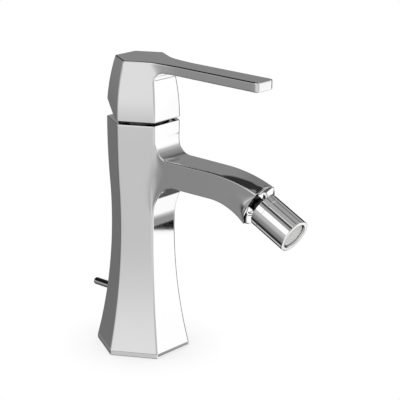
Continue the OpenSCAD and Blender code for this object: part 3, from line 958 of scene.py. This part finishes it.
MATERIALS = {
    "chrome": material("chrome_plate", (0.935, 0.935, 0.935), 1.0, 0.03, 0.01, scale=35.0),
    # Near-black chrome: painted shade for chrome rings deep in a gap
    "painted_shade_chrome": material("painted_shade_chrome", (0.06, 0.06, 0.063), 1.0, 0.10, 0.02, scale=35.0),
    "brass": material("turned_brass", (0.80, 0.62, 0.30), 1.0, 0.25, 0.06, 0.2, 90.0),
    "steel": material("turned_steel", (0.60, 0.61, 0.62), 1.0, 0.30, 0.06, 0.2, 90.0),
    "white_plastic": material("white_acetal", (0.92, 0.92, 0.91), 0.0, 0.38, 0.04, 0.05, 120.0),
    "grey_plastic": material("grey_acetal", (0.24, 0.245, 0.26), 0.0, 0.45, 0.05, 0.15, 120.0),
    "red_plastic": material("red_acetal", (0.40, 0.05, 0.035), 0.0, 0.42, 0.05, 0.15, 120.0),
    "ceramic": material("lapped_ceramic", (0.88, 0.86, 0.80), 0.0, 0.22, 0.04, 0.05, 150.0, coat=0.3),
    "rubber": material("moulded_rubber", (0.02, 0.02, 0.021), 0.0, 0.62, 0.06, 0.3, 150.0),
}
# Chrome rings deep in a gap, where there is only shade; their near-black chrome is painted shade
SHADED_NODES = ("cover_dome", "swivel_stem")

slots = {s["node"]: s["material_slot"] for s in frame["record"]["subparts"]}


def dress_node(obj, finish):
    """Gives a CAD node its finish without touching its mesh."""
    if not obj.material_slots:
        obj.data.materials.append(None)
    for slot in obj.material_slots:
        slot.material = finish


def paint_joint_shade(obj):
    """Painted shade: black rubber on the step between the nozzle's face and its lip."""
    obj.data.materials.append(MATERIALS["rubber"])
    axis = Vector(TIPPED_AXIS)
    for face in obj.data.polygons:
        away = face.center / MM - Vector(BALL)
        if (away - axis * away.dot(axis)).length > FACE_R + 0.02:
            face.material_index = 1


def dress():
    for node, obj in frame["nodes"].items():
        dress_node(obj, MATERIALS[slots[node]])
    pieces = [(build_body(), "body", "mixer"), (build_lever(), "lever", "handle")] + turned_pieces()
    for obj, node, body in pieces:
        # The rings deep in a gap take the near-black chrome as painted shade instead of their slot's
        # chrome
        finish = "painted_shade_chrome" if node in SHADED_NODES else slots[node]
        obj.data.materials.append(MATERIALS[finish])
        # The nozzle's face gets painted shade, in black rubber, on the step at its lip
        if node == "nozzle_insert":
            paint_joint_shade(obj)
        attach(obj, body)
        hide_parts(node)


# Surround, light and camera

# Surround seen in the metal, by azimuth and elevation in degrees: a ramp round the horizon for low and
# for high directions, then soft-edged panels laid over it
LOW_RAMP = [
    (0, 0.60), (26, 0.70), (36, 1.06), (55, 1.1), (62, 0.06), (70, 0.015), (155, 0.015), (162, 0.165),
    (186, 0.165), (200, 0.05), (212, 0.08), (223, 0.21), (229, 0.25), (243, 0.29), (262, 0.46),
    (280, 0.57), (300, 0.60), (322, 0.78), (340, 0.62), (360, 0.60),
]
HIGH_RAMP = [
    (0, 0.52), (28, 0.58), (42, 1.06), (46, 1.1), (53, 0.50), (66, 0.32), (84, 0.25), (98, 0.19),
    (118, 0.20), (128, 0.25), (142, 0.24), (160, 0.20), (190, 0.30), (214, 0.60), (229, 0.36),
    (243, 0.50), (270, 0.76), (298, 0.78), (318, 0.56), (340, 0.50), (360, 0.52),
]
LOW_END, HIGH_START = -18, 0
PANELS = [
    # centre azimuth, elevation, half width, half height, turn, edge softness, level
    (151, 40, 26, 34, 41, 0.05, 0.03),
    (200, 53, 40, 22, 0, 0.08, 0.01),
    (221, 30, 18, 16, 0, 0.1, 0.01),
    (314, 44, 32, 15, 0, 0.12, 0.01),
    (180, -72, 180, 20, 0, 0.12, 0.02),
    (88, -60, 28, 14, 0, 0.1, 1.05),
    (180, 86, 180, 10, 0, 0.15, 0.40),
    (256, 29, 9, 14, 0, 0.12, 1.15),
    (266, 52, 8, 8, 0, 0.20, 0.35),
    (272, 65, 9, 6, 0, 0.15, 0.06),
    (90, 58, 12, 12, 0, 0.15, 0.36),
    (101, 27, 8, 9, 0, 0.15, 0.38),
    (81, 74, 14, 3, 0, 0.3, 0.12),
    (109, -4, 13, 20, 0, 0.12, 0.03),
    (120, -14, 36, 15, 0, 0.1, 0.01),
    (107, 40, 6, 4, 0, 0.25, 0.11),
    (203, -39, 7, 5, 0, 0.12, 0.005),
    (178, -37, 12, 4, 0, 0.2, 0.60),
    (101, -44, 13, 6, 0, 0.1, 0.10),
    (50.07, -20.0, 3, 3, 63.4, 0.02, 0.0),
    (50.3, -24.5, 5, 6, 18.4, 0.01, 0.30),
    (66.6, -34.4, 12, 19, 63.4, 0.184, 1.05),
]


def math_node(tree, operation, *values):
    """Math node on sockets and numbers."""
    node = tree.nodes.new("ShaderNodeMath")
    node.operation = operation
    for socket, value in zip(node.inputs, values):
        if isinstance(value, bpy.types.NodeSocket):
            tree.links.new(value, socket)
        else:
            socket.default_value = value
    return node.outputs["Value"]


def seen_directly(tree):
    """1 for camera and transmission rays, which see the white page, and 0 for the others."""
    path = tree.nodes.new("ShaderNodeLightPath")
    return math_node(tree, "MAXIMUM", path.outputs["Is Camera Ray"], path.outputs["Is Transmission Ray"])


def studio_world():
    """White page for the camera; for everything else the surround of panels, by direction."""
    world = bpy.data.worlds.new("studio")
    bpy.context.scene.world = world
    world.use_nodes = True
    tree = world.node_tree
    nodes, links = tree.nodes, tree.links
    nodes.clear()
    coords = nodes.new("ShaderNodeTexCoord")
    split = nodes.new("ShaderNodeSeparateXYZ")
    links.new(coords.outputs["Generated"], split.inputs["Vector"])
    # Azimuth from 0 to 360, with its seam on +X
    behind_y = math_node(tree, "MULTIPLY", split.outputs["Y"], -1)
    behind_x = math_node(tree, "MULTIPLY", split.outputs["X"], -1)
    turn = math_node(tree, "ARCTAN2", behind_y, behind_x)
    azimuth = math_node(tree, "ADD", math_node(tree, "MULTIPLY", turn, 180 / math.pi), 180)
    rise = math_node(tree, "ARCSINE", split.outputs["Z"])
    elevation = math_node(tree, "MULTIPLY", rise, 180 / math.pi)
    place = nodes.new("ShaderNodeCombineXYZ")
    links.new(azimuth, place.inputs["X"])
    links.new(elevation, place.inputs["Y"])
    unit = math_node(tree, "MULTIPLY", azimuth, 1 / 360)

    def ramp(stops):
        node = nodes.new("ShaderNodeValToRGB")
        node.color_ramp.interpolation = "EASE"
        elements = node.color_ramp.elements
        for _ in range(len(stops) - 2):
            elements.new(0.5)
        for element, (angle, level) in zip(elements, stops):
            element.position = angle / 360
            element.color = (level, level, level, 1)
        links.new(unit, node.inputs["Fac"])
        return node.outputs["Color"]

    def blend(factor, a, b):
        """Mix of a colour with another one or with a grey; 6, 7 and 2 are its colour sockets."""
        node = nodes.new("ShaderNodeMix")
        node.data_type = "RGBA"
        links.new(factor, node.inputs[0])
        links.new(a, node.inputs[6])
        if isinstance(b, bpy.types.NodeSocket):
            links.new(b, node.inputs[7])
        else:
            node.inputs[7].default_value = (b, b, b, 1)
        return node.outputs[2]

    def ease(value, start, end):
        node = nodes.new("ShaderNodeMapRange")
        node.interpolation_type = "SMOOTHSTEP"
        node.inputs["From Min"].default_value = start
        node.inputs["From Max"].default_value = end
        links.new(value, node.inputs["Value"])
        return node.outputs["Result"]

    colour = blend(ease(elevation, LOW_END, HIGH_START), ramp(LOW_RAMP), ramp(HIGH_RAMP))
    for az, el, half_az, half_el, angle, soft, level in PANELS:
        local = nodes.new("ShaderNodeMapping")
        local.vector_type = "TEXTURE"
        local.inputs["Location"].default_value = (az, el, 0)
        local.inputs["Rotation"].default_value = (0, 0, math.radians(angle))
        local.inputs["Scale"].default_value = (half_az, half_el, 1)
        links.new(place.outputs["Vector"], local.inputs["Vector"])
        away = nodes.new("ShaderNodeVectorMath")
        away.operation = "ABSOLUTE"
        links.new(local.outputs["Vector"], away.inputs[0])
        parts = nodes.new("ShaderNodeSeparateXYZ")
        links.new(away.outputs["Vector"], parts.inputs["Vector"])
        edge = math_node(tree, "MAXIMUM", parts.outputs["X"], parts.outputs["Y"])
        inside = ease(math_node(tree, "MULTIPLY", edge, -1), -1 - soft, -1 + soft)
        colour = blend(inside, colour, level)

    surround = nodes.new("ShaderNodeBackground")
    links.new(colour, surround.inputs["Color"])
    page = node_with(nodes, "ShaderNodeBackground", Color=(1, 1, 1, 1))
    pick = nodes.new("ShaderNodeMixShader")
    links.new(seen_directly(tree), pick.inputs["Fac"])
    links.new(surround.outputs["Background"], pick.inputs[1])
    links.new(page.outputs["Background"], pick.inputs[2])
    out = nodes.new("ShaderNodeOutputWorld")
    links.new(pick.outputs["Shader"], out.inputs["Surface"])


# In metres; just under the deck's face, so that it doesn't meet the foot
FLOOR_HALF, FLOOR_Z = 6.0, -0.0002
LAMPS_AIM = (0, 0, 0.1)


def floor():
    """Pale floor: white to the camera, and darker close to the object, where a contact shadow is
    painted.
    """
    s, z = FLOOR_HALF, FLOOR_Z
    mesh = bpy.data.meshes.new("floor")
    mesh.from_pydata([(-s, -s, z), (s, -s, z), (s, s, z), (-s, s, z)], [], [(0, 1, 2, 3)])
    obj = bpy.data.objects.new("floor", mesh)
    bpy.context.scene.collection.objects.link(obj)
    mat = bpy.data.materials.new("pale_floor")
    mat.use_nodes = True
    nodes, links = mat.node_tree.nodes, mat.node_tree.links
    shader = nodes["Principled BSDF"]
    shader.inputs["Base Color"].default_value = (0.85, 0.85, 0.85, 1)
    shader.inputs["Roughness"].default_value = 0.9
    # Painted contact shadow: ambient occlusion dims the floor's white emission near the object
    contact_shadow = node_with(nodes, "ShaderNodeAmbientOcclusion", Distance=0.03)
    contact_shadow.samples = 16
    shade = node_with(nodes, "ShaderNodeMapRange", To_Min=0.72)
    links.new(contact_shadow.outputs["AO"], shade.inputs["Value"])
    page = node_with(nodes, "ShaderNodeEmission", Color=(1, 1, 1, 1))
    links.new(shade.outputs["Result"], page.inputs["Strength"])
    pick = nodes.new("ShaderNodeMixShader")
    links.new(seen_directly(mat.node_tree), pick.inputs["Fac"])
    links.new(shader.outputs["BSDF"], pick.inputs[1])
    links.new(page.outputs["Emission"], pick.inputs[2])
    links.new(pick.outputs["Shader"], nodes["Material Output"].inputs["Surface"])
    mesh.materials.append(mat)
    obj.visible_glossy = False


def softbox(name, place, size, power):
    """Square lamp turned to the middle of the object; place and size are in metres."""
    light = bpy.data.lights.new(name, "AREA")
    light.energy = power
    light.size = size
    obj = bpy.data.objects.new(name, light)
    obj.location = place
    aim = Vector(LAMPS_AIM) - Vector(place)
    obj.rotation_euler = aim.to_track_quat("-Z", "Y").to_euler()
    obj.visible_glossy = False
    bpy.context.scene.collection.objects.link(obj)


# Camera fitted to the photo: place, directions to the back and to the right, roll and lens
CAMERA_AT = (553.698, -591.819, 343.401)
CAMERA_BACK = (0.62322, -0.72133, 0.30213)
CAMERA_RIGHT = (0.75675, 0.65371, 0.0)
CAMERA_ROLL = math.radians(0.74)
LENS, SENSOR = 135.504, 36.0


def camera():
    data = bpy.data.cameras.new("view")
    data.sensor_width = SENSOR
    data.lens = LENS
    data.clip_start, data.clip_end = 0.05, 20.0
    back, right = Vector(CAMERA_BACK).normalized(), Vector(CAMERA_RIGHT).normalized()
    up = back.cross(right)
    c, s = math.cos(CAMERA_ROLL), math.sin(CAMERA_ROLL)
    m = Matrix((right * c + up * s, up * c - right * s, back)).transposed().to_4x4()
    m.translation = Vector(CAMERA_AT) * MM
    obj = bpy.data.objects.new("view", data)
    obj.matrix_world = m
    bpy.context.scene.collection.objects.link(obj)
    bpy.context.scene.camera = obj


dress()
studio_world()
floor()
softbox("key", (0.9, -0.7, 1.1), 0.8, 9.0)
softbox("fill", (-0.8, -0.9, 0.8), 0.9, 5.0)
camera()
bpy.context.scene.view_settings.view_transform = "Standard"
